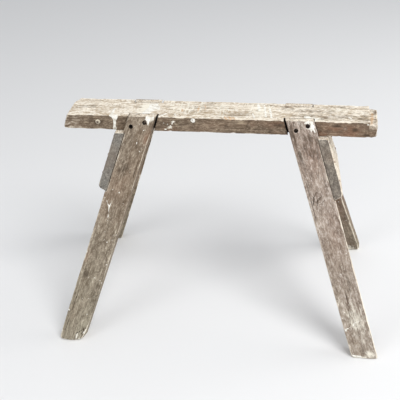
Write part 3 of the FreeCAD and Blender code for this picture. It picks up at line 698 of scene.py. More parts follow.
LEG_STYLES = {
    FRONT_LEFT: {
        "white": (
            ((-4, -15, 5.5), (6, -20, 7.0), (18, -24, 3.2)), ((1, -32, 2.8), (9, -35, 1.8)),
            ((16, -24, 2.6), (25, -25, 1.2)), ((8, -12, 1.6), (12, -6, 1.0)),
            ((255, 26, 0.8), (266, 20, 1.1), (273, 13, 1.6)),
            ((255, 10, 0.9), (266, 11, 1.2), (273, 13, 1.6)),
            ((273, 13, 1.9), (284, 11, 1.4), (308, 6, 1.6)), ((317, 4.5, 1.9),),
            ((77, -9, 1.7), (83, -10, 1.2)), ((229, -4, 2.0),), ((226, 1, 1.2),), ((356, -1, 1.7),),
            ((365, -28, 1.7),), ((388, -15, 1.8),), ((398, -26, 1.5),), ((422, 39, 2.8), (426, 40, 2.0)),
            ((462, -36, 2.4),), ((505, -29, 1.8),), ((523, -39, 2.2),), ((619, 39.5, 3.0), (622, 36, 1.6)),
            ((720, -14, 0.9), (704, -10, 1.3)), ((708, -30, 1.0), (690, -36, 1.5)), ((590, 2, 1.2),),
            ((664, -6, 1.3),), ((336, -18, 1.4),),
        ),
        "stain": (
            (156, 4, 0, 26, 20, 12, 1.05), (187, 9, 0, 22, 12, 12, 0.6), (205, -20, 0, 26, 10, 12, 0.3),
            (430, -17, 0, 22, 4, 12, 0.6), (493, 20, 0, 24, 13, 12, 1.15), (505, 32, 0, 14, 8, 12, 0.5),
            (545, -5, 0, 12, 7, 12, 0.4), (60, 8, 0, 30, 16, 12, 0.3), (302, 30, 0, 4, 3, 6, 0.7),
            (634, 24, 0, 26, 9, 12, 0.35), (440, 10, 0, 50, 8, 12, 0.35), (100, 0, 0, 90, 50, 14, 0.6),
        ),
        "chalk_and_highlight": (
            (6, -30, 0, 14, 10, 10, 0.9), (717, -26, 0, 16, 14, 14, 0.4), (560, 4, 0, 60, 14, 12, 0.3),
            (350, -30, 0, 60, 8, 12, 0.4), (290, 14, 0, 36, 8, 10, 0.35), (710, -15, 0, 16, 3.5, 8, 1.2),
            (694, -37, 0, 16, 3.5, 10, 1.2), (722, -30, 0, 8, 10, 8, 0.8),
        ),
        "red": (
            (60, -34, 0, 20, 9, 12, 0.9), (210, 8, 0, 60, 26, 12, 0.35), (435, 34, 0, 24, 9, 12, 0.6),
            (620, 24, 0, 44, 14, 12, 0.3),
        ),
        "grooves": (
            (((700, -12, 0.8), (690, -24, 1.0), (682, -37, 1.2)), 2.2),
            (((724, -20, 0.8), (708, -24, 1.0), (694, -32, 1.0)), 2.4),
            (((716, -28, 0.8), (706, -33, 0.9), (698, -39, 0.8)), 2.0),
        ),
        "knots": (((160, 4, 0), 15, 8), ((493, 22, 0), 11, 6)),
        "rounded": ((HEIGHT, 41, 0, 24, 22, 40, 7.0), (HEIGHT, -41, 0, 24, 22, 40, 7.0)),
        "pith": (14.0, 70.0),
    },
    FRONT_RIGHT: {
        "white": (
            ((6, 12, 2.4), (4, 17, 3.0), (7, 24, 4.0)), ((7, 26, 7.0), (13, 30, 7.6), (20, 27, 5.4)),
            ((20, 12, 1.6), (22, 19, 1.8), (19, 24, 3.0)), ((0, 22, 5.0), (2, 32, 5.0)),
            ((22, 33, 2.0), (30, 33.5, 1.8)), ((24, 24, 1.6), (30, 24, 1.1)), ((434, 6, 2.3),),
            ((455, -3, 2.3),), ((388, 30, 1.7),), ((577, -24, 1.5),),
            ((636, -41, 1.8), (631, -30, 2.6), (626, -20, 1.2)), ((640, -37, 1.6), (634, -33, 2.0)),
            ((622, -9, 1.3), (612, -4, 1.9), (606, 8, 1.6), (601, 22, 1.0)),
            ((631, -4, 1.0), (622, 4, 1.3), (614, 20, 0.9)), ((720, -37, 3.0), (722, -12, 2.8)),
        ),
        "stain": (
            (499, 35, 0, 12, 7, 10, 0.7), (40, -32, 0, 60, 11, 12, 1.0), (105, -26, 0, 60, 11, 12, 0.95),
            (160, -22, 0, 40, 10, 12, 0.55), (405, -24, 0, 40, 12, 12, 0.5), (480, 10, 0, 50, 30, 12, 0.55),
            (290, -10, 0, 40, 10, 12, 0.4), (676, 20, 0, 14, 8, 12, 0.5), (700, 0, 0, 16, 12, 12, 0.5),
            (345, 10, 0, 44, 8, 12, 0.3), (715, -22, 0, 14, 14, 12, 0.4), (70, 0, 0, 64, 60, 14, 0.85),
            (140, -20, 0, 60, 26, 14, 0.5),
        ),
        "chalk_and_highlight": (
            (12, 0, 0, 16, 20, 8, 0.5), (655, 8, 0, 34, 15, 12, 0.6), (712, 20, 0, 16, 17, 12, 0.95),
            (726, -16, 0, 7, 26, 12, 1.0), (145, 10, 0, 26, 3, 8, 0.5), (150, 8, 0, 20, 5, 8, 0.4),
            (430, 4, 0, 70, 5, 12, 0.5), (540, 0, 0, 90, 5, 12, 0.5), (640, 38, 0, 60, 6, 12, 0.6),
            # the first two spots run down the right arris: whitewash, and partly a painted highlight on the
            # narrow face turned to the light
            (600, 43, 8, 170, 5, 30, 1.4), (330, 43, 6, 120, 4, 24, 1.0), (600, 4, 0, 76, 46, 14, 0.7),
            (210, 10, 0, 60, 36, 14, 0.3),
        ),
        "red": ((80, 6, 0, 90, 60, 14, 0.6), (120, -14, 0, 80, 16, 12, 0.5), (300, 14, 0, 80, 20, 12, 0.5)),
        "grooves": (
            (((2, -19, 0.8), (12, -22, 1.0), (18, -22, 0.8)), 2.0), (((132, 18, 0.8), (162, 7, 0.9)), 1.5),
            (((136, 2, 0.7), (164, 10, 0.8)), 1.4),
            (((204, -8, 0.9), (222, -22, 1.3), (246, -28, 1.0)), 2.3),
            (((214, 6, 0.8), (232, -14, 1.1), (258, -20, 0.8)), 2.0),
            (((228, 8, 0.8), (240, -2, 0.9)), 1.8), (((468, 2, 0.6), (540, -6, 0.9), (618, -15, 0.8)), 1.6),
        ),
        "knots": (((190, -14, 0), 16, 9), ((655, 8, 0), 22, -7)),
        "rounded": (
            (HEIGHT, 41, 0, 20, 18, 40, 3.0), (HEIGHT, -41, 0, 18, 16, 40, 2.5),
            (480, 41, 0, 260, 12, 12, 2.4),
        ),
        "pith": (-16.0, 66.0),
    },
    REAR_LEFT: {
        "white": (((180, 10, 3.0), (210, 11, 2.0)),),
        "stain": (
            (240, 0, 0, 50, 18, 12, 0.5), (520, -10, 0, 40, 14, 12, 0.5),
            (520, 0, LEG_THICK, 60, 16, 12, 0.4),
        ),
        "chalk_and_highlight": ((700, 0, LEG_THICK, 30, 40, 20, 0.7),),
        "red": ((120, 0, LEG_THICK, 120, 40, 20, 0.6),),
        "grooves": (),
        "knots": (((330, -8, 0), 15, 8),),
        "rounded": ((HEIGHT, 41, 40, 20, 18, 40, 5.0), (HEIGHT, -41, 40, 20, 18, 40, 4.0)),
        "pith": (6.0, -24.0),
    },
    REAR_RIGHT: {
        "white": (((430, -12, 2.4),), ((300, 20, 2.0), (330, 21, 1.4))),
        "stain": (
            (160, 6, 0, 50, 18, 12, 0.5), (600, 12, 0, 40, 14, 12, 0.5),
            (260, 0, LEG_THICK, 80, 20, 12, 0.5),
        ),
        "chalk_and_highlight": ((715, 0, LEG_THICK, 26, 40, 20, 0.8),),
        "red": ((260, 0, LEG_THICK, 260, 40, 20, 0.9),),
        "grooves": (),
        "knots": (((520, 12, 0), 14, 8),),
        "rounded": (
            (HEIGHT, 41, 40, 22, 20, 40, 6.0), (HEIGHT, -41, 40, 20, 18, 40, 4.0),
            (480, 41, LEG_THICK, 260, 12, 12, 2.4),
        ),
        "pith": (-10.0, -30.0),
    },
}


def make_leg(side, face):
    seed = 300 + 40 * (side + 1) + 17 * (face + 1)
    marks = LEG_STYLES[side, face]
    # rows of points down the leg: close together at its ends, under the beam and at the gusset's foot
    top = np.concatenate([[0, 0.6, 1.4, 2.4, 3.6], np.arange(5, 48.1, 2.6)])
    shoulder = np.concatenate([[BEAM_DEPTH], BEAM_DEPTH + 0.12 * np.arange(1, 8)])
    covered = np.arange(BEAM_DEPTH + 3, GUSSET_FOOT - 1, 3.9)
    drops = np.concatenate([
        top, shoulder, covered, GUSSET_FOOT + np.array([0, 0.35, 0.7]),
        np.arange(GUSSET_FOOT + 3, HEIGHT - 12, 4.1), HEIGHT - np.array([10, 7.6, 5.6, 4, 2.8, 1.8, 0.9, 0]),
    ])
    # how far each row is notched to stand under the beam, and planed for the gusset
    first, last = len(top), len(top) + len(shoulder) + len(covered)
    notched, planed = np.zeros((2, len(drops)))
    notched[:first] = 1
    notched[first:first + len(shoulder)] = np.linspace(1, 0, len(shoulder))
    planed[first + 2:last + 1] = 1
    planed[last + 1] = 0.5
    row, places, quads = block(drops, spaced(LEG_WIDTH, 1.75), spaced(LEG_THICK, 1.9))
    drop, across, inward = (places / (1, LEG_WIDTH, LEG_THICK)).T
    leg = LegFrame(side, face)

    # depth left above the notch, and width left where the gusset lies
    reach = LEG_PROUD + BEAM_HALF + RAKE * drop - CHEEK
    depth = LEG_THICK * (1 - notched[row] * (1 - np.minimum(1, reach / LEG_DEEP)))
    w = inward * depth
    shaved = TURN[side] * (LEG_DEEP - w * LEG_DEEP / LEG_THICK) * planed[row]
    v_high = LEG_HALF - shaved * LEG_HALF / half_width(side)
    v = -LEG_HALF + across * (v_high + LEG_HALF)
    points = np.stack([drop, v, w], 1)
    low = np.tile((0, -LEG_HALF, 0), (len(drop), 1))
    high = np.stack([np.full(len(drop), HEIGHT), v_high, depth], 1)

    sharp = 0.65 if face < 0 else 0.8
    style = {
        "seed": seed,
        "arris": 2.7,
        "foot": 2.6,
        "tight": 1 - sharp * smooth(-drop, -BEAM_DEPTH - 6, -BEAM_DEPTH + 6),
        "wave": 1.2,
        "grain": 0.32,
        "chips": random_chips(np.random.default_rng(seed), (0, HEIGHT), 22, (4, 22), (0.8, 3.2)),
        "dents": [(*screw, 0, 9, 7, 8, 0.9) for screw in SCREWS[side]],
        **marks,
    }
    draw = np.random.default_rng(seed + 5)
    style["white"] = [leg_mark(*places) for places in marks["white"]]
    style["white"] += splatter(seed, 9, ((60, 700), (-34, 36)), (0.8, 1.5), 0.0)
    style["white"] += splatter(seed + 1, 14, ((100, 700), (-36, 36)), (0.9, 2.0), LEG_THICK)
    style["grooves"] = [(leg_mark(*places), depth) for places, depth in marks["grooves"]]
    style["grooves"] += check_lines(seed, 7)
    moved, outward, fields = weather(points, low, high, style)

    # a ragged, trodden foot
    foot = smooth(drop, HEIGHT - 14, HEIGHT)
    ragged = noise(points, (18, 5, 5), seed + 30, 3)
    moved[:, 0] -= foot * np.clip(outward[:, 0], 0, 1) * (0.7 + 0.9 * ragged)
    if (side, face) == FRONT_LEFT:
        torn = soft_spots(points, [(724, -40, 4, 22, 15, 18, 1.0)])
        moved[:, 1] += torn * 5.5
        moved[:, 0] -= torn * 4.0 * np.clip(outward[:, 0], 0, 1)

    patch = noise(points, (110, 30, 30), seed + 31, 3)
    outer = smooth(-outward[:, 2], 0.4, 0.9)
    sides = smooth(np.abs(outward[:, 1]), 0.5, 0.9)
    pale = 0.16 + 0.18 * patch + (0.35 - 0.2 * sides) * fields["wear"] - 0.04 * sides
    fields["pale"] = np.maximum(pale, fields["end"] * smooth(-drop, -40, -2) * 0.75)
    fields["chalk_and_highlight"] = soft_spots(points, marks["chalk_and_highlight"]) + 0.35 * foot * (0.5 + ragged)
    fields["stain"] = soft_spots(points, marks["stain"]) * (0.75 + 0.5 * ragged)
    fields["red"] = soft_spots(points, marks["red"]) + 0.5 * (1 - outer) * (0.4 + patch)
    damp = smooth(drop, 260, 700) * (0.75 + 0.5 * patch)
    fields["damp"] = damp * (0.35 if (side, face) == FRONT_RIGHT else 1)
    fields["speck"] = 0.3 + 0.4 * smooth(-v, 0, 40) + 0.3 * draw.random()
    fields["local"] = points * LEG_STRETCH * MM

    sinks = []
    for down, along in SCREWS[side]:
        across = REACH[side] + SPLAY[side] * down + along
        centre = np.array((side * across, face * SINK_FLOOR, HEIGHT - down))
        ring = [centre + np.array((math.cos(a), 0, math.sin(a))) * SINK_DIAMETER / 2
                for a in np.arange(SINK_SIDES) * math.tau / SINK_SIDES]
        sinks.append(Prism(ring, (0, face * 30, 0), 12))
    piece = make_piece(f"{FACE[face]}_{HAND[side]}_leg", leg.world(moved), quads, fields)
    return cut(piece, fields, sinks, leg.local, lambda places: places[:, 2])


# ---- the gussets


def make_gusset(side):
    """A board across the outer sides of a pair of legs, its ends flush with their outer faces."""
    seed = 700 + side
    seat = REACH[side] + half_width(side) - TURN[side] * LEG_DEEP
    slope = math.hypot(1, SPLAY[side])
    tall = GUSSET_DROP * slope
    fine = np.array((0, 0.6, 1.4, 2.4, 3.8))
    widest = BEAM_HALF + LEG_PROUD + RAKE * GUSSET_FOOT
    us = np.concatenate([fine, np.linspace(6, 2 * widest - 6, 76), 2 * widest - fine[::-1]]) / (2 * widest)
    _, places, quads = block(us, spaced(tall, 2.2), spaced(GUSSET_THICK, 1.9))
    share, down, thick = places.T
    # the upper edge is level, so the board is less tall towards its outer face
    down = down + thick * SPLAY[side] * (1 - down / tall)
    drop = BEAM_DEPTH + (down - thick * SPLAY[side]) / slope
    reach = BEAM_HALF + LEG_PROUD + RAKE * drop
    along = (share * 2 - 1) * reach
    points = np.stack([along, down, thick], 1)
    low = np.stack([-reach, thick * SPLAY[side], np.zeros(len(points))], 1)
    high = np.stack([reach, np.full(len(points), tall), np.full(len(points), GUSSET_THICK)], 1)
    style = {
        "seed": seed,
        "arris": 2.2,
        "foot": 0.0,
        "rounded": ((-widest, tall, GUSSET_THICK, 40, 22, 22, 9.0),
                    (widest, tall, GUSSET_THICK, 40, 22, 22, 7.0)),
        "wave": 0.9,
        "grain": 0.45,
        "pith": (90.0, 90.0 if side < 0 else -60.0),
        "knots": (((-60, 90, GUSSET_THICK), 14, 8), ((90, 60, 0), 12, 6)),
        "chips": ((-150, 1, 1, 14, 4.0), (-70, 1, 1, 14, 2.4), (20, -1, 1, 14, 2.0), (90, 1, 1, 14, 3.0),
                  (-20, 1, -1, 14, 2.6), (140, 1, -1, 14, 3.0), (-110, -1, 1, 14, 2.0)),
        "white": [[((-92, 6, GUSSET_THICK * 0.6), 9.0), ((-104, 4, GUSSET_THICK), 5.0)],
                  [((-30, 40, GUSSET_THICK), 2.0), ((-26, 60, GUSSET_THICK), 1.4)],
                  [((60, 120, GUSSET_THICK), 2.6)], [((100, 50, 0), 2.0)]],
        "grooves": [([((-130, 70, w), 0.7), ((-20, 74, w), 1.0), ((40, 76, w), 0.6)], 1.4)
                    for w in (0, GUSSET_THICK)]
        + [([((60, 130, GUSSET_THICK), 0.7), ((150, 126, GUSSET_THICK), 0.9)], 1.6)],
    }
    moved, outward, fields = weather(points, low, high, style)
    patch = noise(points, (90, 30, 30), seed + 31, 3)
    outer = smooth(outward[:, 2], 0.4, 0.9)
    upper = smooth(-outward[:, 1], 0.5, 0.9)
    ends = fields["end"]
    fields["wear"] = fields["wear"] * 0.7
    pale = 0.12 + 0.2 * patch + 0.35 * fields["wear"]
    # the upper face paler; the outer face far paler on the right gusset than the left: painted light from the
    # right
    pale = pale + (0.6 - 0.15 * side) * upper + (0.42 + 0.33 * side) * outer
    fields["pale"] = np.clip(pale, 0, 1) * (1 - 0.8 * ends)
    splash = soft_spots(points, [(-96, 0, 12, 20, 14, 20, 0.9)])
    fields["chalk_and_highlight"] = (0.22 - 0.1 * side) * upper + splash
    fields["stain"] = 0.25 * ends + soft_spots(points, [(0, 90, 0, 60, 30, 8, 0.5)])
    fields["red"] = (1 - outer) * (1 - ends) * (0.5 + patch)
    fields["damp"] = np.zeros(len(points))
    fields["speck"] = np.full(len(points), 0.35)
    fields["local"] = points * MM
    down, thick = moved[:, 1], moved[:, 2]
    world = np.stack([
        side * (seat + SPLAY[side] * BEAM_DEPTH + down * SPLAY[side] / slope + thick / slope),
        moved[:, 0],
        BEAM_BASE - down / slope + thick * SPLAY[side] / slope,
    ], 1)
    return make_piece(f"{HAND[side]}_gusset", world, quads, fields)


# ---- materials


def tone(red, green, blue):
    """A colour from its 0 to 255 values, as linear light."""
    return tuple(((part / 255 + 0.055) / 1.055) ** 2.4 for part in (red, green, blue))


DIRT = tone(70, 58, 46)


class Value:
    """What one node of a material gives out. Arithmetic on it makes more nodes."""

    def __init__(self, graph, socket):
        self.graph = graph
        self.socket = socket

    def __add__(self, other):
        return self.graph.math("ADD", self, other)

    def __mul__(self, other):
        return self.graph.math("MULTIPLY", self, other)

    def sway(self, weight):
        """How far a noise stands from its middle, times a weight."""
        return (self + -0.5) * weight

    def ease(self, low, high, start=0.0, end=1.0):
        """A smooth step from start to end while the value goes from low to high."""
        step = {"Value": self, "From Min": low, "From Max": high, "To Min": start, "To Max": end}
        return self.graph.node("MapRange", "Result", step, interpolation_type="SMOOTHSTEP")

    def noise(self, scale, detail, rough, distortion=0.0):
        """Noise at a place, its scale one number or one for each axis."""
        vector = self
        if isinstance(scale, tuple):
            vector = self.graph.node("VectorMath", 0, {0: self, 1: scale}, operation="MULTIPLY")
            scale = 1.0
        return self.graph.node("TexNoise", "Fac", {"Vector": vector, "Scale": scale, "Detail": detail,
                                                   "Roughness": rough, "Distortion": distortion})

    def away(self, centre):
        """Distance from a point."""
        return self.graph.node("VectorMath", "Value", {0: self, 1: centre}, operation="DISTANCE")


class Graph:
    """The nodes of a material under construction."""

    def __init__(self, name):
        self.material = bpy.data.materials.new(name)
        self.material.use_nodes = True
        self.tree = self.material.node_tree
        self.tree.nodes.clear()

    def node(self, kind, output, inputs=(), **settings):
        made = self.tree.nodes.new(f"ShaderNode{kind}")
        for setting, value in settings.items():
            setattr(made, setting, value)
        for place, value in dict(inputs).items():
            socket = made.inputs[place]
            if isinstance(value, Value):
                self.tree.links.new(value.socket, socket)
            else:
                socket.default_value = (*value, 1) if socket.type == "RGBA" else value
        return Value(self, made.outputs[output])

    def math(self, operation, a, b):
        return self.node("Math", 0, {0: a, 1: b}, operation=operation)

    def field(self, name, output="Fac"):
        return self.node("Attribute", output, attribute_name=name)

    def place(self):
        return self.node("TexCoord", "Object")

    def mix(self, share, a, b):
        return self.node("Mix", 2, {0: share, 6: a, 7: b}, data_type="RGBA")

    def layers(self, colour, rows):
        """Colours laid over one another, each by a smooth step of some value."""
        for value, low, high, start, end, tint in rows:
            colour = self.mix(value.ease(low, high, start, end), colour, tint)
        return colour

    def finish(self, colour, roughness, height=None, bump=0.0005, strength=1.0, **fixed):
        look = {"Base Color": colour, "Roughness": roughness}
        look.update((socket.replace("_", " "), value) for socket, value in fixed.items())
        if height is not None:
            relief = {"Height": height, "Distance": bump, "Strength": strength}
            look["Normal"] = self.node("Bump", "Normal", relief)
        shader = self.node("BsdfPrincipled", "BSDF", look)
        out = self.tree.nodes.new("ShaderNodeOutputMaterial")
        self.tree.links.new(shader.socket, out.inputs["Surface"])
        return self.material


def weathered_wood(name, dark, middle, light, shift):
    """Old timber: ring stripes, fibres, dirt, bleached and worn wood, and spots and drips of paint."""
    g = Graph(name)
    local = g.node("VectorMath", 0, {0: g.field("local", "Vector"), 1: shift}, operation="ADD")
    fibres = local.noise((9, 300, 300), 4, 0.62)
    fine = local.noise((34, 1050, 1050), 2, 0.6)
    blotch = local.noise((8, 26, 26), 5, 0.65, 0.3)
    patina = local.noise((2.6, 9, 9), 3, 0.55)
    grime = local.noise((52, 100, 100), 5, 0.72)
    mottle = local.noise((38, 78, 78), 5, 0.74, 0.6)
    flecks = local.noise((130, 250, 250), 3, 0.7)
    rings = g.field("ring") + local.noise((14, 80, 80), 2, 0.55) * 2.2
    stripes = g.node("TexNoise", "Fac", {"W": rings, "Scale": 0.3, "Detail": 3.0}, noise_dimensions="1D")

    # grey weathered wood: soft stripes and fibres under mottled dirt
    texture = (stripes * 0.22 + fibres * 0.2) + (blotch * 0.3 + mottle * 0.38)
    scraped = fibres * 0.36 + (mottle * 0.54 + fine * 0.25)
    colour = g.layers(g.mix(texture.ease(0.42, 0.66), dark, middle), (
        (scraped, 0.56, 0.78, 0.0, 0.85, light),
        (flecks, 0.32, 0.48, 0.5, 0.0, dark), (flecks, 0.53, 0.66, 0.0, 0.5, light),
        (grime, 0.34, 0.47, 0.5, 0.0, dark), (grime, 0.53, 0.66, 0.0, 0.45, light),
        (patina, 0.45, 0.72, 0.0, 0.3, tone(128, 104, 82)),
    ))
    red = g.field("red") * (blotch + mottle * 0.5).ease(0.55, 0.95)
    colour = g.mix(red * 0.75, colour, tone(134, 94, 72))
    damp = g.field("damp") * (patina + blotch * 0.6).ease(0.5, 1.0, 0.3, 0.85)
    colour = g.mix(damp, colour, g.mix(scraped.ease(0.45, 0.7), tone(112, 106, 90), tone(184, 178, 158)))
    crust = mottle.ease(0.55, 0.68) * blotch.ease(0.42, 0.6)
    colour = g.mix(crust * 0.45, colour, light)
    colour = g.mix(mottle.ease(0.44, 0.3, 0.0, 0.5), colour, g.mix(0.5, dark, DIRT))

    # sun-faded wood, with painted light on the right gusset's outer face, and the pale bare wood of worn
    # arrises
    pale_at = g.field("pale") + (blotch.sway(1.1) + mottle.sway(1.0))
    streaks = (stripes * 0.6 + mottle * 0.7).ease(0.48, 0.76)
    bleached_and_lit = g.layers(g.mix(streaks, tone(186, 168, 142), tone(238, 228, 210)), (
        (grime, 0.36, 0.49, 0.6, 0.0, tone(152, 132, 108)),
        (grime, 0.53, 0.66, 0.0, 0.75, tone(248, 244, 234)),
        (flecks, 0.36, 0.5, 0.55, 0.0, tone(158, 132, 106)),
        (flecks, 0.52, 0.62, 0.0, 0.6, tone(250, 246, 238)),
    ))
    worn_at = g.field("wear") + (grime.sway(1.1) + fibres.sway(0.5))
    chalk_and_highlight_at = g.field("chalk_and_highlight") + (grime.sway(1.2) + fibres.sway(0.8))
    stain_at = g.field("stain") + (blotch.sway(0.7) + mottle.sway(-0.9))
    colour = g.layers(colour, (
        (pale_at, 0.3, 0.78, 0.0, 1.0, bleached_and_lit),
        (worn_at, 0.5, 1.1, 0.0, 0.85, tone(228, 218, 200)),
        (chalk_and_highlight_at, 0.35, 1.0, 0.0, 0.9, tone(244, 238, 222)),
        # dark stains, darker colour where the surface sinks furthest, and painted shade, near black, down in
        # checks, screw holes and housings
        (stain_at, 0.25, 0.95, 0.0, 0.8, DIRT),
        (g.field("sink"), 1.2, 2.6, 0.0, 0.5, tone(84, 68, 52)),
        (g.field("painted_hollow_shade"), 0.25, 0.95, 0.0, 0.93, tone(26, 20, 15)),
    ))

    # paint, thin in the middle of broad strokes, and small thrown dots of it
    ragged = grime.sway(4.5)
    thin = g.field("white").ease(-1.5, -4.5) * (grime * 0.6 + mottle * 0.4).ease(0.5, 0.4)
    white = (g.field("white") + ragged).ease(0.5, -0.7) * g.math("SUBTRACT", 1.0, thin * 0.75)
    ochre = (g.field("ochre") + ragged * 2.0).ease(1.4, -1.4)
    colour = g.mix(ochre * 0.5, colour, tone(200, 152, 98))
    cells = g.node("TexVoronoi", "Distance", {"Vector": local, "Scale": 105.0}, feature="F1")
    tint = Value(g, cells.socket.node.outputs["Color"])
    kept = g.node("SeparateColor", "Red", {"Color": tint})
    size = (kept + g.field("speck") * 0.35).ease(0.9, 1.25) * 0.17
    dots = g.math("SUBTRACT", cells, size).ease(0.03, -0.03)
    paint = g.math("MAXIMUM", white, dots * 0.9)
    colour = g.mix(paint, colour, g.mix(grime.ease(0.36, 0.56), tone(206, 200, 186), tone(246, 243, 234)))

    roughness = fibres.ease(0.3, 0.7, 0.94, 0.8) + paint * -0.32
    height = fibres * 0.5 + (fine * 0.22 + stripes * 0.3)
    height = height * paint.ease(0.0, 1.0, 1.0, 0.25) + paint * 0.7
    return g.finish(colour, roughness, height, 0.001, 0.8, Specular_IOR_Level=0.22)


def old_iron(name, dark, rust, share):
    """Rusted or dulled metal, pitted and blotchy."""
    g = Graph(name)
    place = g.place()
    coarse = place.noise(260.0, 4, 0.65)
    pits = place.noise(1400.0, 3, 0.7)
    at = (coarse * 0.7 + pits * 0.3).ease(0.62 - share * 0.3, 0.72 - share * 0.3)
    colour = g.mix(at, dark, g.mix(pits, rust, tuple(c * 1.9 for c in rust)))
    return g.finish(colour, at.ease(0.0, 1.0, 0.55, 0.8), pits + coarse, 0.0005, 0.8)


def worn_stud(node, rim, middle):
    """A dull domed stud, its rim another colour from the middle of its head."""
    g = Graph(f"{node}_metal")
    place = g.place()
    grime = place.noise(420.0, 4, 0.6)
    low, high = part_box(node)
    flat = g.node("VectorMath", 0, {0: place, 1: (1.0, 0.0, 1.0)}, operation="MULTIPLY")
    away = flat.away(((low[0] + high[0]) / 2 - 0.0006, 0.0, (low[2] + high[2]) / 2 - 0.0008))
    colour = g.mix((away + grime.sway(0.004)).ease(0.003, 0.0048), middle, rim)
    colour = g.mix(grime.ease(0.55, 0.42, 0.0, 0.45), colour, tone(74, 62, 52))
    return g.finish(colour, 0.62, grime, 0.0004, 0.8, Metallic=0.15)


def painted_head(node):
    """Thick white paint over a nail head, with a small dark, slightly sunk spot near its top."""
    g = Graph("clout_paint")
    place = g.place()
    grime = place.noise(320.0, 4, 0.6)
    low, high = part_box(node)
    spot = ((low[0] + high[0]) / 2 - 0.0022, low[1], (low[2] + high[2]) / 2 + 0.0024)
    dark_spot = (place.away(spot) + grime.sway(0.0016)).ease(0.0021, 0.0014)
    colour = g.mix(grime.ease(0.35, 0.6), tone(214, 208, 194), tone(250, 247, 240))
    colour = g.mix(dark_spot * 0.9, colour, tone(52, 42, 34))
    return g.finish(colour, dark_spot.ease(0.0, 1.0, 0.45, 0.85), grime + dark_spot * -2.0)


# ---- putting it together


# each timber's dark, middle and light tones, and where its noise starts
TIMBER_TONES = {
    "top_beam": (tone(82, 69, 56), tone(132, 115, 98), tone(184, 168, 144), (0.0, 0.0, 0.0)),
    "leg_front_left": (tone(98, 85, 71), tone(148, 134, 117), tone(200, 188, 168), (3.1, 0.4, 0.0)),
    "leg_front_right": (tone(112, 96, 84), tone(180, 165, 151), tone(232, 222, 212), (5.7, 1.2, 0.3)),
    "leg_rear_left": (tone(84, 70, 56), tone(138, 122, 102), tone(184, 168, 142), (8.2, 0.1, 0.9)),
    "leg_rear_right": (tone(76, 58, 48), tone(110, 87, 74), tone(166, 142, 122), (11.4, 0.7, 0.2)),
    "gusset_left": (tone(100, 96, 90), tone(132, 128, 121), tone(166, 160, 149), (14.6, 0.5, 0.6)),
    "gusset_right": (tone(92, 85, 77), tone(130, 121, 111), tone(172, 162, 148), (17.9, 0.2, 0.8)),
}


def fit(piece, node):
    """Give a timber its material and set it on the frame in place of its CAD node."""
    mesh = piece.data
    mesh.polygons.foreach_set("use_smooth", np.ones(len(mesh.polygons), bool))
    mesh.materials.append(weathered_wood(f"{node}_wood", *TIMBER_TONES[node]))
    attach(piece, "root")
    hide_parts(node)


def add_timber():
    fit(make_beam(), "top_beam")
    for side in (-1, 1):
        for face in (-1, 1):
            fit(make_leg(side, face), f"leg_{FACE[face]}_{HAND[side]}")
        fit(make_gusset(side), f"gusset_{HAND[side]}")


def finish_fixings():
    dusty = old_iron("dusty_iron", tone(66, 55, 46), tone(106, 90, 76), 0.6)
    looks = {
        "leg_screw": old_iron("screw_iron", tone(17, 14, 13), tone(36, 23, 17), 0.6),
        "leg_screw_front_right_low": dusty,
        "leg_screw_front_left_high": dusty,
        "gusset_nails": old_iron("nail_iron", tone(58, 48, 42), tone(98, 58, 36), 0.8),
        "beam_stud_left": worn_stud("beam_stud_left", tone(214, 202, 180), tone(112, 98, 84)),
        "beam_stud_right": worn_stud("beam_stud_right", tone(120, 100, 84), tone(166, 142, 122)),
        "clout_nail": painted_head("clout_nail"),
    }
    for node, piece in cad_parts.items():
        for start, material in looks.items():
            if node.startswith(start):
                piece.data.materials.clear()
                piece.data.materials.append(material)


FLOOR_HALF = 60.0


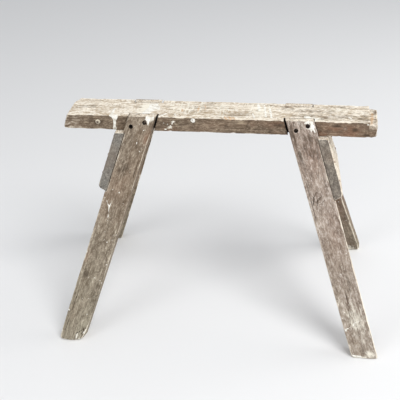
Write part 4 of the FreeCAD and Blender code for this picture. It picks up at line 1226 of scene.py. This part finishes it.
def add_floor():
    mesh = bpy.data.meshes.new("floor")
    corners = [(x * FLOOR_HALF, y * FLOOR_HALF, 0) for x, y in ((-1, -1), (1, -1), (1, 1), (-1, 1))]
    mesh.from_pydata(corners, [], [(0, 1, 2, 3)])
    mesh.materials.append(Graph("floor_plain").finish((0.8, 0.8, 0.8), 0.9))
    put("floor", mesh)


# the photograph's viewpoint: place in metres, then pan, tilt and roll in degrees
CAMERA_PLACE = (0.15846, -1.74255, 1.56448)
CAMERA_TURNS = ((6.005, "Z"), (56.20, "X"), (-0.98, "Z"))
CAMERA_LENS = 55.74
CAMERA_SHIFT = (-0.0369, 0.0008)


def add_camera():
    data = bpy.data.cameras.new("camera")
    data.sensor_width = 36.0
    data.lens = CAMERA_LENS
    data.shift_x, data.shift_y = CAMERA_SHIFT
    data.clip_start, data.clip_end = 0.05, 50.0
    camera = put("camera", data)
    pan, tilt, roll = (Matrix.Rotation(math.radians(angle), 4, axis) for angle, axis in CAMERA_TURNS)
    camera.matrix_world = Matrix.Translation(CAMERA_PLACE) @ (pan @ tilt) @ roll
    bpy.context.scene.camera = camera


# soft lamps: name, place, the point each one faces, width in metres, power in watts
LAMPS = (
    ("key", (2.3, -2.2, 5.2), (0, 0, 0.45), 3.2, 206),
    ("side", (4.4, 0.8, 1.5), (0, 0, 0.4), 2.4, 70),
    ("fill", (-3.6, -3.4, 2.4), (0, 0, 0.4), 2.8, 58),
)
SKY_COLOUR = (0.95, 0.97, 1.0, 1)
SKY_STRENGTH = 0.55


def add_light(name, place, target, size, power):
    data = bpy.data.lights.new(name, "AREA")
    data.shape = "DISK"
    data.size = size
    data.energy = power
    lamp = put(name, data)
    place, target = Vector(place), Vector(target)
    facing = (target - place).to_track_quat("-Z", "Y").to_matrix().to_4x4()
    lamp.matrix_world = Matrix.Translation(place) @ facing


def add_studio():
    world = bpy.data.worlds.new("studio")
    world.use_nodes = True
    sky = world.node_tree.nodes["Background"].inputs
    sky["Color"].default_value = SKY_COLOUR
    sky["Strength"].default_value = SKY_STRENGTH
    scene = bpy.context.scene
    scene.world = world
    scene.view_settings.view_transform = "Standard"
    scene.view_settings.look = "None"
    for lamp in LAMPS:
        add_light(*lamp)


add_camera()
add_studio()
add_floor()
add_timber()
finish_fixings()
